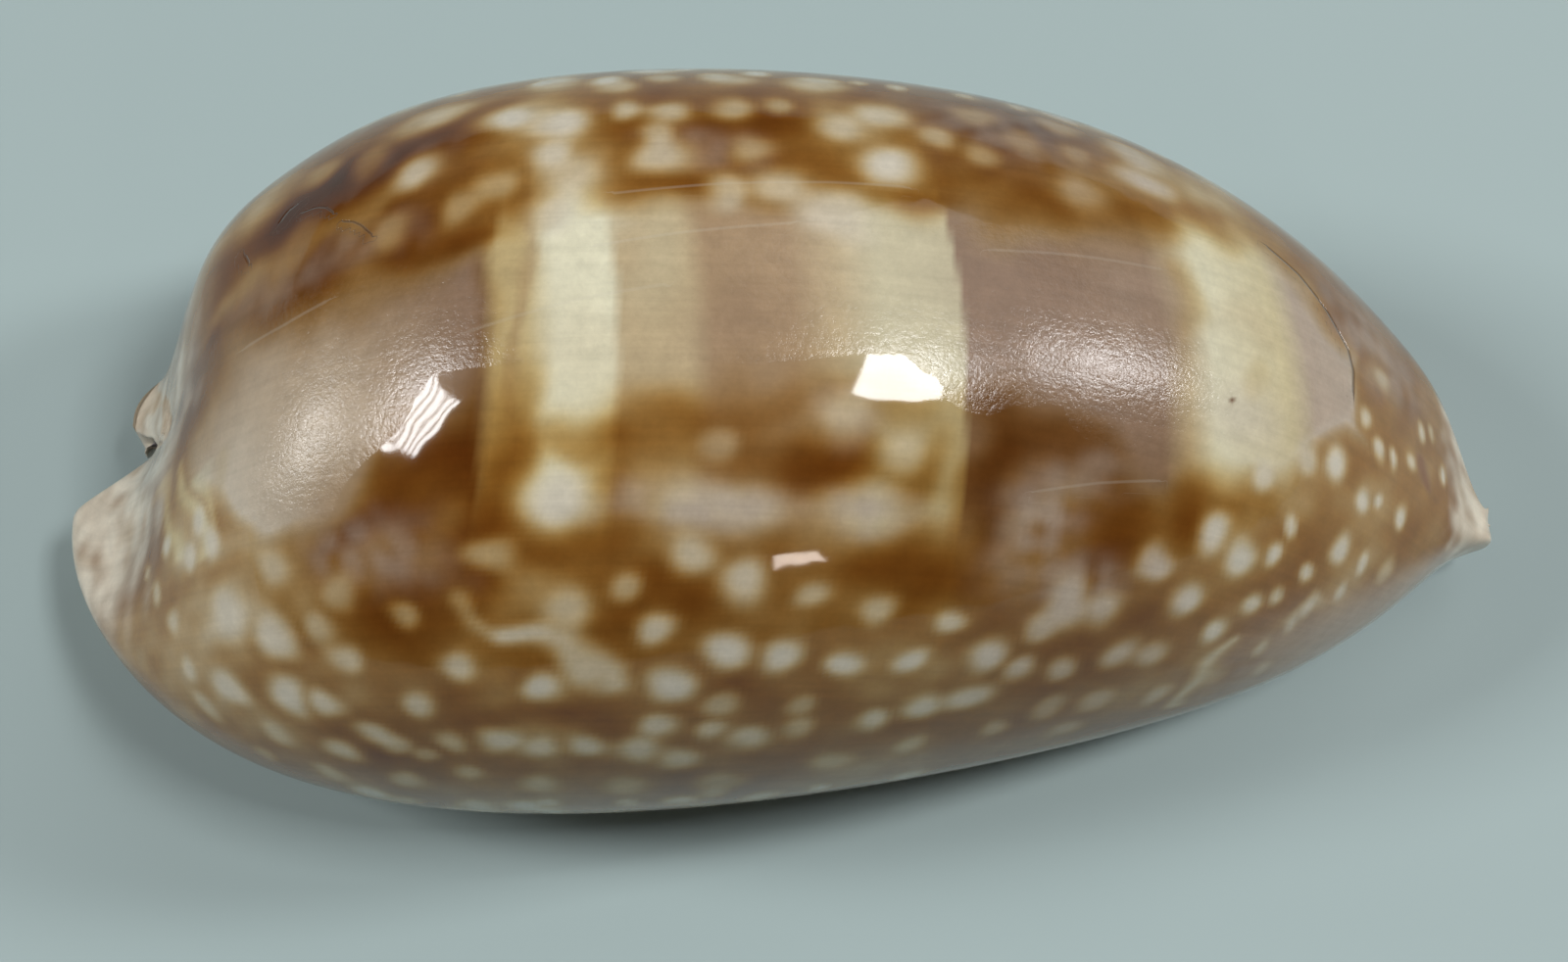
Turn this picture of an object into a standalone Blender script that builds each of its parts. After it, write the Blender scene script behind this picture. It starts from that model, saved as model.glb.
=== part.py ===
"""Zebra cowrie: one hollow shell, resting on its mouth.

X runs from the posterior (spire) end to the anterior end, -Y is the side of the outer lip, +Z is up.
All driving dimensions are in millimetres.
"""
import bpy
import numpy as np
from math import pi

for old in list(bpy.data.objects):
    bpy.data.objects.remove(old, do_unlink=True)

MM = 0.001

# Lines that run from end to end. Each list gives the line at these shares of its length along X.
STATIONS = (0, 0.01, 0.03, 0.07, 0.15, 0.30, 0.50, 0.70, 0.85, 0.93, 0.97, 0.985, 1)
LABRAL_MARGIN_Y = (-2.6, -6.8, -10.05, -14.15, -18.85, -21.9, -21.0, -17.3, -12.35, -7.6, -4.6, -3.9, -3.35)
COLUMELLAR_MARGIN_Y = (3.6, 5.25, 6.55, 10.8, 16.35, 19.55, 20.05, 18.1, 13.0, 8.3, 3.9, 0.5, -1.35)
MARGIN_Z = (5.4, 6.0, 6.8, 8.2, 10.4, 12.2, 12.2, 10.8, 8.6, 6.8, 5.7, 5.2, 4.6)
RIDGE_Z = (9.0, 11.5, 15.8, 22.0, 28.8, 34.0, 34.4, 29.7, 21.4, 13.7, 8.9, 7.0, 5.5)
SLOT_Y = (1.0, 1.0, 1.0, 0.95, 0.7, 0.2, -0.2, -0.4, -0.8, -1.4, -2.0, -2.25, -2.4)
SLOT_HALF_WIDTH = (1.4, 1.42, 1.45, 1.5, 1.55, 1.65, 1.75, 1.85, 1.85, 1.5, 1.0, 0.7, 0.45)

# Where the three upper lines start at the posterior end and stop at the anterior end.
LABRAL_MARGIN_X = (-42.75, 42.25)
COLUMELLAR_MARGIN_X = (-39.6, 42.1)
RIDGE_X = (-37.15, 41.9)
MIDDLE = (-0.1, -0.96)

# The underside rocks up towards both ends and is worn flat where it rests.
ROCKER_RISE = 3.4
ROCKER_MIDDLE = 0.46
FLAT_WEAR = 0.4
LIP_DEPTH = 3.0

# How much flatter (+) or fuller (-) the arcs of the back run than elsewhere: at the margin, at the ridge, and
# over what share of the length. Flange and knob are at the posterior end, the beak at the anterior end.
ARC_FULLNESS = 0.60
FLANGE = (0.15, 0.18, 0.06)
KNOB = (1.0, 0.3, 0.038)
BEAK = (-0.13, -0.30, 0.05)

# Shoulder of the columellar side behind the knob: fuller at the margin, flatter at the ridge, place, reach
SHOULDER = (-0.38, 0.20, 0.07, 0.05)

# Inside: the roof of the chamber, and how far its sides stay inside the two margins
ROOF_Z = (7.5, 7.7, 8.3, 14.5, 25.2, 32.2, 33.0, 28.1, 19.3, 11.5, 7.1, 5.6, 4.9)
LABRAL_WALL = (2.4, 2.4, 3.0, 5.0, 3.6, 2.5, 2.4, 2.4, 2.5, 2.4, 1.6, 1.2, 1.0)
COLUMELLAR_WALL = (2.4, 2.4, 3.0, 4.2, 3.2, 2.5, 2.4, 2.4, 2.6, 2.8, 2.2, 1.4, 1.0)
LIP_WALL = 3.4
LIP_INNER_RISE = 1.4

# Teeth on both lips, with grooves between them
TOOTH_COUNT = 30
TOOTH_FIRST, TOOTH_LAST = 0.075, 0.935
GROOVE_DEPTH = 0.5
COLUMELLAR_GAP = 2

# Hollow between the flange and the back at the posterior end of the outer lip
SADDLE_DEPTH = 1.2

# How finely the surface is cut: places along the arcs of lip, base and back where it has a line of points
STEPS = ((0, 0.33, 0.66), (0, 0.13, 0.45, 0.75), (0, 0.12, 0.25, 0.375, 0.5, 0.625, 0.75, 0.875))
END_STEPS = 7
RIM_ROUND = 0.6

SPACING = (TOOTH_LAST - TOOTH_FIRST) / (TOOTH_COUNT - 1)


def spline(knots, values):
    """Natural cubic spline through the values."""
    k = np.asarray(knots, float)
    v = np.asarray(values, float)
    h = np.diff(k)
    n = len(k)
    a = np.eye(n)
    b = np.zeros(n)
    for i in range(1, n - 1):
        a[i, i - 1:i + 2] = h[i - 1], 2 * (h[i - 1] + h[i]), h[i]
        b[i] = 6 * ((v[i + 1] - v[i]) / h[i] - (v[i] - v[i - 1]) / h[i - 1])
    m = np.linalg.solve(a, b)

    def curve(t):
        i = np.clip(np.searchsorted(k, t) - 1, 0, n - 2)
        p, q = k[i + 1] - t, t - k[i]
        return ((m[i] * p**3 + m[i + 1] * q**3) / (6 * h[i])
                + (v[i] / h[i] - m[i] * h[i] / 6) * p
                + (v[i + 1] / h[i] - m[i + 1] * h[i] / 6) * q)
    return curve


def share(t):
    """Share of the length at t, close-set near both ends so that they come out round."""
    return (1 - np.cos(pi * t)) / 2


def turn(s):
    return np.arccos(1 - 2 * np.asarray(s, float)) / pi


def smooth(q, a, b):
    q = np.clip((q - a) / (b - a), 0, 1)
    return q * q * (3 - 2 * q)


def line(values, t):
    return spline(turn(STATIONS), values)(t)


def along(ends, t):
    return ends[0] + (ends[1] - ends[0]) * share(t)


def point(x, y, z):
    return np.stack([x, y, z], -1)


def outer_lines(t):
    """The seven lines that the outside passes through, from the labral lip over the back."""
    s = share(t)
    labral_x, columellar_x = along(LABRAL_MARGIN_X, t), along(COLUMELLAR_MARGIN_X, t)
    labral_y, columellar_y = line(LABRAL_MARGIN_Y, t), line(COLUMELLAR_MARGIN_Y, t)
    margin_z, middle, half = line(MARGIN_Z, t), line(SLOT_Y, t), line(SLOT_HALF_WIDTH, t)
    post, ant = np.exp(-s / 0.02), np.exp(-(1 - s) / 0.03)
    base_z = ROCKER_RISE * np.abs((s - ROCKER_MIDDLE) / (1 - ROCKER_MIDDLE)) ** 3.2 - FLAT_WEAR
    slot_z = base_z + LIP_DEPTH - 1.6 * ant
    reach = 0.30 + 0.15 * post + 0.10 * ant
    lip_l, lip_c = middle - half, middle + half
    base_l = lip_l + reach * (labral_y - lip_l)
    base_c = lip_c + reach * (columellar_y - lip_c)
    return (point(labral_x + 2.4 * post - 0.5 * ant, lip_l, slot_z),
            point(labral_x + 1.2 * post - 0.2 * ant, base_l, base_z + 0.4 * post),
            point(labral_x, labral_y, margin_z),
            point(along(RIDGE_X, t), 0.9 * middle + 0.6 * np.sin(pi * t), line(RIDGE_Z, t)),
            point(columellar_x, columellar_y, margin_z + 0.4),
            point(columellar_x + 0.4 * post - 0.1 * ant, base_c, base_z + 0.5 * post),
            point(columellar_x + post - 0.2 * ant, lip_c, slot_z))


def inner_lines(t, outer):
    """The same seven lines on the inside: a chamber that narrows to a canal at both ends."""
    s = share(t)
    wide = (smooth(s, 0.03, 0.13) * (1 - smooth(s, 0.88, 0.98)))[:, None]
    lip_l, base_l, margin_l, ridge, margin_c, base_c, lip_c = outer
    rise = np.array([0, 0, 1.0])
    side = np.array([0, 1.0, 0])
    roof = point(ridge[:, 0], ridge[:, 1], line(ROOF_Z, t))
    pairs = []
    for lip, base, margin, inward, gap in ((lip_l, base_l, margin_l, side, line(LABRAL_WALL, t)),
                                           (lip_c, base_c, margin_c, -side, line(COLUMELLAR_WALL, t))):
        slot = lip + rise * LIP_INNER_RISE * wide
        span = roof - slot
        canal_base = slot + span * (0.10, 0, 0.10) - inward * 0.12
        canal_margin = slot + span * (0.35, 0, 0.40) - inward * 0.2
        room_base = base + rise * LIP_WALL
        room_margin = margin + inward * gap[:, None] + rise * 0.3
        pairs.append((slot - inward * 0.1, canal_base + (room_base - canal_base) * wide,
                      canal_margin + (room_margin - canal_margin) * wide))
    labral, columellar = pairs
    return (*labral, roof, *columellar[::-1])


def quarter(a, b, steps, level_first, first=0.56, second=0.56):
    """Rounded arc from line a to line b, leaving a level or upright, as points [t, step, xyz]."""
    u = np.asarray(steps, float)[:, None]
    handle_a, handle_b = a.copy(), b.copy()
    i, j = (1, 2) if level_first else (2, 1)
    handle_a[:, i] += first * (b[:, i] - a[:, i])
    handle_b[:, j] += second * (a[:, j] - b[:, j])
    return ((1 - u) ** 3 * a[:, None] + 3 * u * (1 - u) ** 2 * handle_a[:, None]
            + 3 * u * u * (1 - u) * handle_b[:, None] + u ** 3 * b[:, None])


def mirrored(steps):
    """The same places counted from the other end of an arc."""
    return (0, *(1 - u for u in steps[:0:-1]))


def sheet(lines, t, steps, inside=False):
    """One sheet of the wall, from the labral lip over the back to the columellar lip."""
    s = share(t)
    keep = 0 if inside else 1
    flange = keep * np.exp(-(s / FLANGE[2]) ** 2)
    knob = keep * np.exp(-(s / KNOB[2]) ** 2)
    beak = keep * np.exp(-((1 - s) / BEAK[2]) ** 2)
    shoulder = keep * np.exp(-((s - SHOULDER[2]) / SHOULDER[3]) ** 2)
    lip_l, base_l, margin_l, ridge, margin_c, base_c, lip_c = lines
    lip, base, back = steps
    return np.concatenate([
        quarter(lip_l, base_l, lip, False),
        quarter(base_l, margin_l, base, True, 0.6, 0.56),
        quarter(margin_l, ridge, back, False,
                ARC_FULLNESS - FLANGE[0] * flange - BEAK[0] * beak,
                ARC_FULLNESS - FLANGE[1] * flange - BEAK[1] * beak),
        quarter(ridge, margin_c, mirrored(back), True,
                ARC_FULLNESS - KNOB[1] * knob - BEAK[1] * beak - SHOULDER[1] * shoulder,
                ARC_FULLNESS - KNOB[0] * knob - BEAK[0] * beak - SHOULDER[0] * shoulder),
        quarter(margin_c, base_c, mirrored(base), False, 0.56, 0.6),
        quarter(base_c, lip_c, (*mirrored(lip), 1), True)], 1)


def groove(t, skip):
    """0 on the crest of a tooth and on the smooth ends of the lip, 1 midway between two teeth."""
    number = (share(t) - TOOTH_FIRST) / SPACING
    between = 0.5 - 0.5 * np.cos(2 * pi * number)
    return np.where((number > skip) & (number < TOOTH_COUNT - 1 - skip), between, 0)


def cut_grooves(grid, t, lip):
    """Press the grooves between the teeth into both lips of the outer sheet."""
    places = (*lip, 1)
    n = len(places)
    labral = (range(n), 1, 0, 1.1)
    columellar = (range(-1, -n - 1, -1), -1, COLUMELLAR_GAP, 0.9)
    for columns, outward, skip, reach in (labral, columellar):
        depth = groove(t, skip) * GROOVE_DEPTH
        for u, column in zip(places, columns):
            window = 1 - smooth(u, 0.6 * reach, reach)
            grid[:, column, 1] -= outward * np.cos(u * pi / 2) * window * depth
            grid[:, column, 2] += np.sin(u * pi / 2) * window * depth


def press_saddle(grid, t, first, back):
    """Press in the hollow between the flange and the back."""
    s = share(t)
    u = np.array(back)
    across = np.sin(pi * np.clip((u - 0.05) / 0.7, 0, 1)) ** 2
    depth = SADDLE_DEPTH * smooth(s, 0, 0.03) * np.exp(-(s / 0.08) ** 2)
    push = depth[:, None] * across[None, :]
    grid[:, first:first + len(u)] += push[..., None] * np.array([0.5, 0.3, -0.8])


def shell_grid(t, steps):
    """Outer and inner sheet of the wall at the given places along the shell."""
    lip, base, back = steps
    lines = outer_lines(t)
    outer = sheet(lines, t, steps)
    inner = sheet(inner_lines(t, lines), t, steps, inside=True)
    press_saddle(outer, t, len(lip) + len(base), back)
    cut_grooves(outer, t, lip)
    outer[..., 2] = np.maximum(outer[..., 2], 0)
    for grid in (outer, inner):
        grid[..., 0] -= MIDDLE[0]
        grid[..., 1] -= MIDDLE[1]
    return outer, inner


def rim(outer, inner, end, rings):
    """Rings of points that round the wall over from the outer to the inner sheet at one end."""
    row, before = (0, 1) if end < 0 else (-1, -2)
    a, b = outer[row], inner[row]
    lead_a, lead_b = a - outer[before], b - inner[before]
    for lead in (lead_a, lead_b):
        lead /= np.linalg.norm(lead, axis=1, keepdims=True) + 1e-9
        lead[:, 0] += 0.5 * end
    reach = np.minimum(RIM_ROUND, 0.6 * np.linalg.norm(b - a, axis=1, keepdims=True))
    out = []
    for w in np.linspace(0, 1, rings + 2)[1:-1]:
        out.append((1 - w) ** 3 * a + 3 * w * (1 - w) ** 2 * (a + lead_a * reach)
                   + 3 * w * w * (1 - w) * (b + lead_b * reach) + w ** 3 * b)
    return out


teeth = turn(TOOTH_FIRST - SPACING / 2 + np.arange(2 * TOOTH_COUNT + 1) * SPACING / 2)
T = np.concatenate([np.linspace(0, teeth[0], END_STEPS + 1)[:-1], teeth,
                    np.linspace(teeth[-1], 1, END_STEPS + 1)[1:]])
outer, inner = shell_grid(T, STEPS)
ring = np.concatenate([outer, inner[:, ::-1]], 1)
rows, columns = ring.shape[:2]
half = outer.shape[1]

verts = [tuple(p) for p in (ring * MM).reshape(-1, 3)]
faces = []
for i in range(rows - 1):
    for j in range(columns):
        k = (j + 1) % columns
        faces.append((i * columns + j, (i + 1) * columns + j, (i + 1) * columns + k, i * columns + k))

# A rounded rim joins the two sheets around the canal at each end.
for row, end in ((0, -1), (rows - 1, 1)):
    start = len(verts)
    verts += [tuple(p) for p in rim(outer, inner, end, 1)[0] * MM]
    faces_here = []
    for j in range(half - 1):
        a, b = row * columns + j, row * columns + j + 1
        c, d = row * columns + columns - 2 - j, row * columns + columns - 1 - j
        p, q = start + j, start + j + 1
        faces_here += [(a, p, q, b), (p, d, c, q)]
    a, d, p = row * columns, row * columns + columns - 1, start
    b, c, q = row * columns + half - 1, row * columns + half, start + half - 1
    faces_here += [(a, d, p), (b, q, c)]
    faces += faces_here if end > 0 else [face[::-1] for face in faces_here]

mesh = bpy.data.meshes.new("shell")
mesh.from_pydata(verts, [], faces)
mesh.validate()
mesh.update()
shell = bpy.data.objects.new("shell", mesh)
bpy.context.scene.collection.objects.link(shell)

glaze = bpy.data.materials.new("glazed shell")
glaze.use_nodes = True
surface = glaze.node_tree.nodes["Principled BSDF"]
surface.inputs["Base Color"].default_value = (0.33, 0.19, 0.10, 1)
surface.inputs["Roughness"].default_value = 0.22
mesh.materials.append(glaze)
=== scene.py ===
"""Zebra cowrie, dressed: the fine surface of the shell with its bands, spots, worn back and glaze.

Lengths are in millimetres unless a name ends in _M. X runs from the posterior (spire) end to the anterior
end, -Y is the side of the outer lip, +Z is up. Places on the shell are given as (station, girth): station is
how far along the shell they are from its middle, girth how far round it from the crest of the back, minus
towards the outer lip.
"""

from math import cos, pi, radians, sin

import bpy
import numpy as np
from mathutils import Matrix, Quaternion, Vector


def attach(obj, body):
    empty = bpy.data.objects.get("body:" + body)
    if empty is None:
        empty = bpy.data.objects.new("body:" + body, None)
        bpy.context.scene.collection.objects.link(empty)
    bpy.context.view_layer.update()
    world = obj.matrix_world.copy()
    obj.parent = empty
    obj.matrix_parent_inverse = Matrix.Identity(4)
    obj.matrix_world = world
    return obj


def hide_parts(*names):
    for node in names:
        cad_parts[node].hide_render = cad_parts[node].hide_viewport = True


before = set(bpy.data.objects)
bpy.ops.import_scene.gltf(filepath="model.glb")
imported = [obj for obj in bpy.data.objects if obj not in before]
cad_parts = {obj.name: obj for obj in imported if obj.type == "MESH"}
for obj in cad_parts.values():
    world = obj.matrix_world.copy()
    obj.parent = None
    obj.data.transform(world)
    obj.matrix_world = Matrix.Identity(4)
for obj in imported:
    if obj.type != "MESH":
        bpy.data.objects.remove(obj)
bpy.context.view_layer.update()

MM = 0.001

# Lines that run from end to end. Each list gives the line at these shares of its length along X.
STATIONS = (0, 0.01, 0.03, 0.07, 0.15, 0.30, 0.50, 0.70, 0.85, 0.93, 0.97, 0.985, 1)
LABRAL_MARGIN_Y = (-2.6, -6.8, -10.05, -14.15, -18.85, -21.9, -21, -17.3, -12.35, -7.6, -4.6, -3.9, -3.35)
COLUMELLAR_MARGIN_Y = (3.6, 5.25, 6.55, 10.8, 16.35, 19.55, 20.05, 18.1, 13, 8.3, 3.9, 0.5, -1.35)
MARGIN_Z = (5.4, 6, 6.8, 8.2, 10.4, 12.2, 12.2, 10.8, 8.6, 6.8, 5.7, 5.2, 4.6)
RIDGE_Z = (9, 11.5, 15.8, 22, 28.8, 34, 34.4, 29.7, 21.4, 13.7, 8.9, 7, 5.5)
SLOT_Y = (1, 1, 1, 0.95, 0.7, 0.2, -0.2, -0.4, -0.8, -1.4, -2, -2.25, -2.4)
SLOT_HALF_WIDTH = (1.4, 1.42, 1.45, 1.5, 1.55, 1.65, 1.75, 1.85, 1.85, 1.5, 1, 0.7, 0.45)
LABRAL_MARGIN_X = (-42.75, 42.25)
COLUMELLAR_MARGIN_X = (-39.6, 42.1)
RIDGE_X = (-37.15, 41.9)
MIDDLE = (-0.1, -0.96)
ROCKER_RISE = 3.4
ROCKER_MIDDLE = 0.46
FLAT_WEAR = 0.4
LIP_DEPTH = 3.0
ARC_FULLNESS = 0.60
FLANGE = (0.15, 0.18, 0.06)
KNOB = (1, 0.3, 0.038)
BEAK = (-0.13, -0.30, 0.05)
SHOULDER = (-0.38, 0.20, 0.07, 0.05)
ROOF_Z = (7.5, 7.7, 8.3, 14.5, 25.2, 32.2, 33, 28.1, 19.3, 11.5, 7.1, 5.6, 4.9)
LABRAL_WALL = (2.4, 2.4, 3, 5, 3.6, 2.5, 2.4, 2.4, 2.5, 2.4, 1.6, 1.2, 1)
COLUMELLAR_WALL = (2.4, 2.4, 3, 4.2, 3.2, 2.5, 2.4, 2.4, 2.6, 2.8, 2.2, 1.4, 1)
LIP_WALL = 3.4
LIP_INNER_RISE = 1.4
TOOTH_COUNT = 30
TOOTH_FIRST, TOOTH_LAST = 0.075, 0.935
GROOVE_DEPTH = 0.5
COLUMELLAR_GAP = 2
SADDLE_DEPTH = 1.2
RIM_ROUND = 0.6
LENGTH = 85.3
SPACING = (TOOTH_LAST - TOOTH_FIRST) / (TOOTH_COUNT - 1)

# The posterior and the anterior end: over what share of the length they fade, and how far lines turn in there
END_FADE = (0.02, 0.03)
LABRAL_LIP_TURN = (2.4, 0.5)
LABRAL_BASE_TURN = (1.2, 0.2)
COLUMELLAR_BASE_TURN = (0.4, 0.1)
COLUMELLAR_LIP_TURN = (1, 0.2)
# Where the base is lowest, as a share of the way from lip to margin, and what the ends add
BASE_REACH = (0.30, 0.15, 0.10)
LABRAL_BASE_RISE, COLUMELLAR_BASE_RISE = 0.4, 0.5
ROCKER_POWER = 3.2
SLOT_DROP = 1.6
COLUMELLAR_MARGIN_RISE = 0.4
RIDGE_FOLLOW, RIDGE_BOW = 0.9, 0.6

# The chamber: where it widens and narrows, and its canal's corners, as shares of the way from lip to roof
# and as millimetres outward
ROOM_START, ROOM_END = (0.03, 0.13), (0.88, 0.98)
CANAL_BASE, CANAL_MARGIN = (0.10, 0, 0.10), (0.35, 0, 0.40)
CANAL_LIP_OUT, CANAL_BASE_OUT, CANAL_MARGIN_OUT = 0.1, 0.12, 0.2
ROOM_MARGIN_RISE = 0.3

# Handles of the arcs, reach and fade of the grooves, place and push of the saddle, lean and reach of the rims
HANDLE, FULL_HANDLE = 0.56, 0.6
LABRAL_GROOVE, COLUMELLAR_GROOVE, GROOVE_FADE = 1.1, 0.9, 0.6
SADDLE_START, SADDLE_SPAN = 0.05, 0.7
SADDLE_RISE, SADDLE_FADE = 0.03, 0.08
SADDLE_PUSH = (0.5, 0.3, -0.8)
RIM_LEAN, RIM_SHARE = 0.5, 0.6
TINY = 1e-9

# How finely the surface is cut: steps on the arcs of lip, base and back, rows along the shell, the places
# where their spacing changes, and where those of the chamber end
FINE_ARCS = (10, 26, 106)
FINE_ROWS = (34, 250, 34)
COARSE_ARCS = (2, 6, 12)
COARSE_ROWS = 70
RIM_RINGS = 6
ROW_BREAKS = (0.16, 0.85)
CHAMBER_ENDS = (0.02, 0.98)


def spline(knots, values):
    """Natural cubic spline through the values."""
    k = np.asarray(knots, float)
    v = np.asarray(values, float)
    h = np.diff(k)
    n = len(k)
    a = np.eye(n)
    b = np.zeros(n)
    for i in range(1, n - 1):
        a[i, i - 1:i + 2] = h[i - 1], 2 * (h[i - 1] + h[i]), h[i]
        b[i] = 6 * ((v[i + 1] - v[i]) / h[i] - (v[i] - v[i - 1]) / h[i - 1])
    m = np.linalg.solve(a, b)

    def curve(t):
        i = np.clip(np.searchsorted(k, t) - 1, 0, n - 2)
        p, q = k[i + 1] - t, t - k[i]
        return ((m[i] * p**3 + m[i + 1] * q**3) / (6 * h[i])
                + (v[i] / h[i] - m[i] * h[i] / 6) * p
                + (v[i + 1] / h[i] - m[i + 1] * h[i] / 6) * q)
    return curve


def share(t):
    """Share of the length at t, close-set near both ends so that they come out round."""
    return (1 - np.cos(pi * t)) / 2


def turn(s):
    """The t at which the share of the length is s."""
    return np.arccos(1 - 2 * np.asarray(s, float)) / pi


def smooth(q, a, b):
    """A smooth step from 0 to 1 as q goes from a to b."""
    q = np.clip((q - a) / (b - a), 0, 1)
    return q * q * (3 - 2 * q)


def line(values, t):
    return spline(turn(STATIONS), values)(t)


def along(ends, t):
    return ends[0] + (ends[1] - ends[0]) * share(t)


def point(x, y, z):
    return np.stack([x, y, z], -1)


def outer_lines(t):
    """The seven lines that the outside passes through, from the labral lip over the back."""
    s = share(t)
    labral_x, columellar_x = along(LABRAL_MARGIN_X, t), along(COLUMELLAR_MARGIN_X, t)
    labral_y, columellar_y = line(LABRAL_MARGIN_Y, t), line(COLUMELLAR_MARGIN_Y, t)
    margin_z, middle, half = line(MARGIN_Z, t), line(SLOT_Y, t), line(SLOT_HALF_WIDTH, t)
    post, ant = np.exp(-s / END_FADE[0]), np.exp(-(1 - s) / END_FADE[1])
    base_z = ROCKER_RISE * np.abs((s - ROCKER_MIDDLE) / (1 - ROCKER_MIDDLE)) ** ROCKER_POWER - FLAT_WEAR
    slot_z = base_z + LIP_DEPTH - SLOT_DROP * ant
    reach = BASE_REACH[0] + BASE_REACH[1] * post + BASE_REACH[2] * ant
    lip_l, lip_c = middle - half, middle + half
    base_l = lip_l + reach * (labral_y - lip_l)
    base_c = lip_c + reach * (columellar_y - lip_c)

    def turned(x, amounts):
        return x + amounts[0] * post - amounts[1] * ant

    return (point(turned(labral_x, LABRAL_LIP_TURN), lip_l, slot_z),
            point(turned(labral_x, LABRAL_BASE_TURN), base_l, base_z + LABRAL_BASE_RISE * post),
            point(labral_x, labral_y, margin_z),
            point(along(RIDGE_X, t), RIDGE_FOLLOW * middle + RIDGE_BOW * np.sin(pi * t), line(RIDGE_Z, t)),
            point(columellar_x, columellar_y, margin_z + COLUMELLAR_MARGIN_RISE),
            point(turned(columellar_x, COLUMELLAR_BASE_TURN), base_c, base_z + COLUMELLAR_BASE_RISE * post),
            point(turned(columellar_x, COLUMELLAR_LIP_TURN), lip_c, slot_z))


def inner_lines(t, outer):
    """The same seven lines on the inside: a chamber that narrows to a canal at both ends."""
    s = share(t)
    wide = (smooth(s, *ROOM_START) * (1 - smooth(s, *ROOM_END)))[:, None]
    lip_l, base_l, margin_l, ridge, margin_c, base_c, lip_c = outer
    rise = np.array([0, 0, 1.0])
    side = np.array([0, 1.0, 0])
    roof = point(ridge[:, 0], ridge[:, 1], line(ROOF_Z, t))
    pairs = []
    for lip, base, margin, inward, gap in ((lip_l, base_l, margin_l, side, line(LABRAL_WALL, t)),
                                           (lip_c, base_c, margin_c, -side, line(COLUMELLAR_WALL, t))):
        slot = lip + rise * LIP_INNER_RISE * wide
        span = roof - slot
        canal_base = slot + span * CANAL_BASE - inward * CANAL_BASE_OUT
        canal_margin = slot + span * CANAL_MARGIN - inward * CANAL_MARGIN_OUT
        room_base = base + rise * LIP_WALL
        room_margin = margin + inward * gap[:, None] + rise * ROOM_MARGIN_RISE
        pairs.append((slot - inward * CANAL_LIP_OUT, canal_base + (room_base - canal_base) * wide,
                      canal_margin + (room_margin - canal_margin) * wide))
    labral, columellar = pairs
    return (*labral, roof, *columellar[::-1])


def quarter(a, b, steps, level_first, first=HANDLE, second=HANDLE):
    """Rounded arc from line a to line b, leaving a level or upright, as points [t, step, xyz]."""
    u = np.asarray(steps, float)[:, None]
    handle_a, handle_b = a.copy(), b.copy()
    i, j = (1, 2) if level_first else (2, 1)
    handle_a[:, i] += first * (b[:, i] - a[:, i])
    handle_b[:, j] += second * (a[:, j] - b[:, j])
    return ((1 - u) ** 3 * a[:, None] + 3 * u * (1 - u) ** 2 * handle_a[:, None]
            + 3 * u * u * (1 - u) * handle_b[:, None] + u ** 3 * b[:, None])


def mirrored(steps):
    """The same places counted from the other end of an arc."""
    return (0, *(1 - u for u in steps[:0:-1]))


def sheet(lines, t, steps, inside=False):
    """One sheet of the wall, from the labral lip over the back to the columellar lip."""
    s = share(t)
    keep = 0 if inside else 1
    flange = keep * np.exp(-(s / FLANGE[2]) ** 2)
    knob = keep * np.exp(-(s / KNOB[2]) ** 2)
    beak = keep * np.exp(-((1 - s) / BEAK[2]) ** 2)
    shoulder = keep * np.exp(-((s - SHOULDER[2]) / SHOULDER[3]) ** 2)
    lip_l, base_l, margin_l, ridge, margin_c, base_c, lip_c = lines
    lip, base, back = steps
    return np.concatenate([
        quarter(lip_l, base_l, lip, False),
        quarter(base_l, margin_l, base, True, FULL_HANDLE, HANDLE),
        quarter(margin_l, ridge, back, False,
                ARC_FULLNESS - FLANGE[0] * flange - BEAK[0] * beak,
                ARC_FULLNESS - FLANGE[1] * flange - BEAK[1] * beak),
        quarter(ridge, margin_c, mirrored(back), True,
                ARC_FULLNESS - KNOB[1] * knob - BEAK[1] * beak - SHOULDER[1] * shoulder,
                ARC_FULLNESS - KNOB[0] * knob - BEAK[0] * beak - SHOULDER[0] * shoulder),
        quarter(margin_c, base_c, mirrored(base), False, HANDLE, FULL_HANDLE),
        quarter(base_c, lip_c, (*mirrored(lip), 1), True)], 1)


def groove(t, skip):
    """0 on the crest of a tooth and on the smooth ends of the lip, 1 midway between two teeth."""
    number = (share(t) - TOOTH_FIRST) / SPACING
    between = 0.5 - 0.5 * np.cos(2 * pi * number)
    return np.where((number > skip) & (number < TOOTH_COUNT - 1 - skip), between, 0)


def cut_grooves(grid, t, lip):
    """Press the grooves between the teeth into both lips of the outer sheet."""
    places = (*lip, 1)
    n = len(places)
    labral = (range(n), 1, 0, LABRAL_GROOVE)
    columellar = (range(-1, -n - 1, -1), -1, COLUMELLAR_GAP, COLUMELLAR_GROOVE)
    for columns, outward, skip, reach in (labral, columellar):
        depth = groove(t, skip) * GROOVE_DEPTH
        for u, column in zip(places, columns):
            window = 1 - smooth(u, GROOVE_FADE * reach, reach)
            grid[:, column, 1] -= outward * np.cos(u * pi / 2) * window * depth
            grid[:, column, 2] += np.sin(u * pi / 2) * window * depth


def press_saddle(grid, t, first, back):
    """Press in the hollow between the flange and the back."""
    s = share(t)
    u = np.array(back)
    across = np.sin(pi * np.clip((u - SADDLE_START) / SADDLE_SPAN, 0, 1)) ** 2
    depth = SADDLE_DEPTH * smooth(s, 0, SADDLE_RISE) * np.exp(-(s / SADDLE_FADE) ** 2)
    push = depth[:, None] * across[None, :]
    grid[:, first:first + len(u)] += push[..., None] * np.array(SADDLE_PUSH)


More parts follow.
